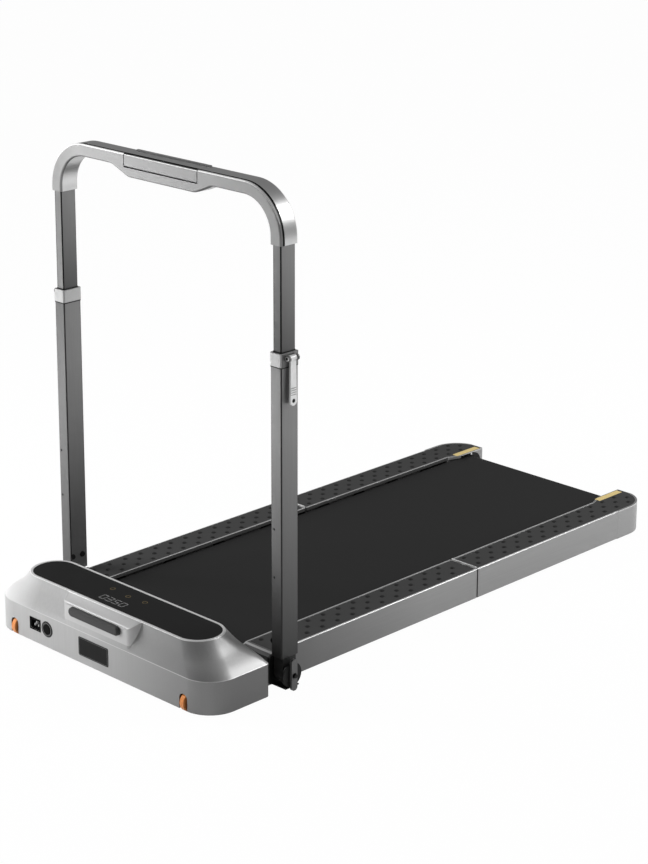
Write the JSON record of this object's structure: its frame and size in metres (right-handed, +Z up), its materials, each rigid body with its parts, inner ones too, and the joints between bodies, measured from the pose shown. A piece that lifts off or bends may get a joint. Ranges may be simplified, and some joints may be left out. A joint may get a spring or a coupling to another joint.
{
  "type": "walking pad",
  "caption": "Flat folding treadmill for walking, with a front drive hood, studded side rails and a telescopic U-shaped handrail that folds down.",
  "frame": {"origin": "centre of the footprint on the floor", "axes": "+X across the pad to the right of a viewer who faces the hood, +Y from the hood to the tail roller, +Z up"},
  "size_m": [0.72, 1.463, 1.043],
  "materials": {
    "hood_silver": "satin metallic paint",
    "display_black": "glossy tinted panel",
    "black_plastic": "fine grain",
    "grip_rubber": "matt moulded",
    "contact_brass": "bright",
    "rail_grey": "satin anodised",
    "cap_grey": "satin metallic paint",
    "tread_rubber": "matt moulded",
    "belt_black": "fine textured",
    "deck_board": "laminated board",
    "frame_black": "powder coat",
    "bright_steel": "turned",
    "roller_steel": "turned",
    "motor_grey": "painted",
    "cushion_rubber": "matt",
    "wheel_orange": "satin",
    "post_grey": "brushed and anodised",
    "inner_post_dark": "brushed and anodised",
    "collar_silver": "satin cast",
    "bar_silver": "satin metallic paint",
    "flap_silver": "satin metallic paint"
  },
  "bodies": {
    "front_frame": {"hood_shell": "hood_silver", "display_panel": "display_black", "grip_bar": "grip_rubber", "power_inlet": "black_plastic", "inlet_pins": "contact_brass", "switch_bezel": "black_plastic", "chassis_tray": "frame_black", "wheel_axles": "bright_steel", "motor_can": "motor_grey", "motor_cradle": "frame_black", "motor_controller": "motor_grey", "drive_belt": "belt_black", "roller_bearings": "bright_steel", "front_rail_left": "rail_grey", "front_rail_right": "rail_grey", "front_treads": "tread_rubber", "front_belt": "belt_black", "front_deck": "deck_board", "front_cross_members": "frame_black", "front_cushions": "cushion_rubber", "front_belly_pan": "black_plastic", "front_feet": "cushion_rubber", "front_hinge_leaves": "bright_steel", "hinge_pins": "bright_steel", "post_brackets": "frame_black", "pivot_pins": "bright_steel"},
    "rear_frame": {"rear_rail_left": "rail_grey", "rear_rail_right": "rail_grey", "rear_treads": "tread_rubber", "rear_caps": "cap_grey", "rear_belt": "belt_black", "rear_deck": "deck_board", "rear_cross_members": "frame_black", "rear_cushions": "cushion_rubber", "rear_belly_pan": "black_plastic", "rear_feet": "cushion_rubber", "rear_hinge_leaves": "bright_steel", "tail_roller_axle": "bright_steel"},
    "handrail_lower": {"outer_post_left": "post_grey", "outer_post_right": "post_grey", "post_tongues": "frame_black", "post_collars": "collar_silver", "clamp_pins": "bright_steel"},
    "handrail_upper": {"inner_posts": "inner_post_dark", "handrail_bar": "bar_silver", "flap_pin": "bright_steel", "phone_ledge": "black_plastic"},
    "phone_flap": {"phone_flap": "flap_silver"},
    "clamp_lever_left": {"clamp_lever_left": "collar_silver"},
    "clamp_lever_right": {"clamp_lever_right": "collar_silver"},
    "lock_lever_left": {"lock_lever_left": "collar_silver"},
    "lock_lever_right": {"lock_lever_right": "collar_silver"},
    "wheel_left": {"wheel_left": "wheel_orange"},
    "wheel_right": {"wheel_right": "wheel_orange"},
    "drive_roller": {"drive_roller": "roller_steel", "roller_pulley": "roller_steel"},
    "motor_rotor": {"motor_shaft": "bright_steel", "motor_pulley": "bright_steel"},
    "tail_roller": {"tail_roller": "roller_steel"},
    "power_rocker": {"power_rocker": "black_plastic"}
  },
  "joints": [
    {"name": "deck_fold", "type": "hinge", "parent": "front_frame", "child": "rear_frame", "pos_m": [0, 0.1105, 0.08], "axis": [1, 0, 0], "range_deg": [0, 180]},
    {"name": "handrail_fold", "type": "hinge", "parent": "front_frame", "child": "handrail_lower", "pos_m": [0, -0.5047, 0.04], "axis": [-1, 0, 0], "range_deg": [0, 84]},
    {"name": "handrail_height", "type": "slide", "parent": "handrail_lower", "child": "handrail_upper", "axis": [0, 0, 1], "range_m": [-0.21, 0]},
    {"name": "phone_flap", "type": "hinge", "parent": "handrail_upper", "child": "phone_flap", "pos_m": [0, -0.5257, 1.036], "axis": [-1, 0, 0], "range_deg": [0, 165]},
    {"name": "clamp_lever_left", "type": "hinge", "parent": "handrail_lower", "child": "clamp_lever_left", "pos_m": [-0.3515, -0.5047, 0.704], "axis": [0, 1, 0], "range_deg": [0, 150]},
    {"name": "clamp_lever_right", "type": "hinge", "parent": "handrail_lower", "child": "clamp_lever_right", "pos_m": [0.3515, -0.5047, 0.704], "axis": [0, -1, 0], "range_deg": [0, 150]},
    {"name": "lock_lever_left", "type": "hinge", "parent": "front_frame", "child": "lock_lever_left", "pos_m": [-0.354, -0.5047, 0.04], "axis": [1, 0, 0], "range_deg": [0, 20], "stiffness_Nm_per_rad": 0.6},
    {"name": "lock_lever_right", "type": "hinge", "parent": "front_frame", "child": "lock_lever_right", "pos_m": [0.354, -0.5047, 0.04], "axis": [1, 0, 0], "range_deg": [0, 20], "stiffness_Nm_per_rad": 0.6},
    {"name": "wheel_left", "type": "hinge", "parent": "front_frame", "child": "wheel_left", "pos_m": [-0.265, -0.7085, 0.023], "axis": [1, 0, 0], "continuous": true},
    {"name": "wheel_right", "type": "hinge", "parent": "front_frame", "child": "wheel_right", "pos_m": [0.265, -0.7085, 0.023], "axis": [1, 0, 0], "continuous": true},
    {"name": "drive_roller", "type": "hinge", "parent": "front_frame", "child": "drive_roller", "pos_m": [0, -0.5955, 0.0462], "axis": [1, 0, 0], "continuous": true},
    {"name": "motor_rotor", "type": "hinge", "parent": "front_frame", "child": "motor_rotor", "pos_m": [0.136, -0.6635, 0.049], "axis": [1, 0, 0], "continuous": true},
    {"name": "tail_roller", "type": "hinge", "parent": "rear_frame", "child": "tail_roller", "pos_m": [0, 0.6785, 0.0462], "axis": [1, 0, 0], "continuous": true},
    {"name": "power_rocker", "type": "hinge", "parent": "front_frame", "child": "power_rocker", "pos_m": [-0.1565, -0.7195, 0.0495], "axis": [1, 0, 0], "range_deg": [0, 14]}
  ],
  "couplings": [
    {"joint": "motor_rotor", "follows": "drive_roller", "ratio": 2.5},
    {"joint": "tail_roller", "follows": "drive_roller", "ratio": 1}
  ]
}
